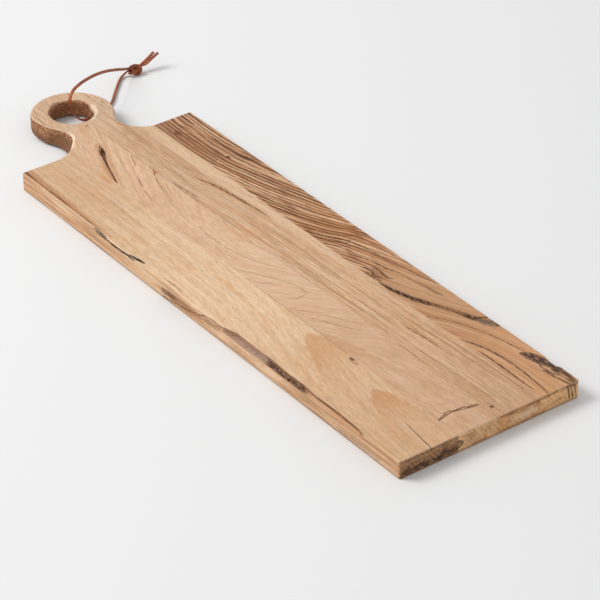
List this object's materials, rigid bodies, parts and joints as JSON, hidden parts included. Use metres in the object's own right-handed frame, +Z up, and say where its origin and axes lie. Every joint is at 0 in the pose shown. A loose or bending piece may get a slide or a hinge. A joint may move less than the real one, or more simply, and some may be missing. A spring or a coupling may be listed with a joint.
{
  "type": "paddle serving board",
  "caption": "Long wooden serving board of edge-glued staves with a round ring handle and a knotted leather hanging lace.",
  "frame": {"origin": "on the table, under the middle of the wood's box", "axes": "+Y along the board towards the ring handle, +Z up through its thickness, +X to the right with the handle away from the viewer"},
  "size_m": [0.2509, 0.7293, 0.0475],
  "materials": {
    "wood_left": "satin oiled",
    "wood_centre_left": "satin oiled",
    "wood_centre_right": "satin oiled",
    "wood_right": "satin oiled",
    "lace_leather": "semi-matte"
  },
  "bodies": {
    "board": {"left_stave": "wood_left", "centre_left_stave": "wood_centre_left", "centre_right_stave": "wood_centre_right", "right_stave": "wood_right"},
    "thong": {"thong_loop": "lace_leather", "thong_knot": "lace_leather", "thong_tail_upper": "lace_leather", "thong_tail_lower": "lace_leather"}
  },
  "joints": [
    {"name": "thong_swing", "type": "hinge", "parent": "board", "child": "thong", "pos_m": [0.0045, 0.3125, 0], "axis": [0, 0, 1], "range_deg": [-50, 175]}
  ]
}
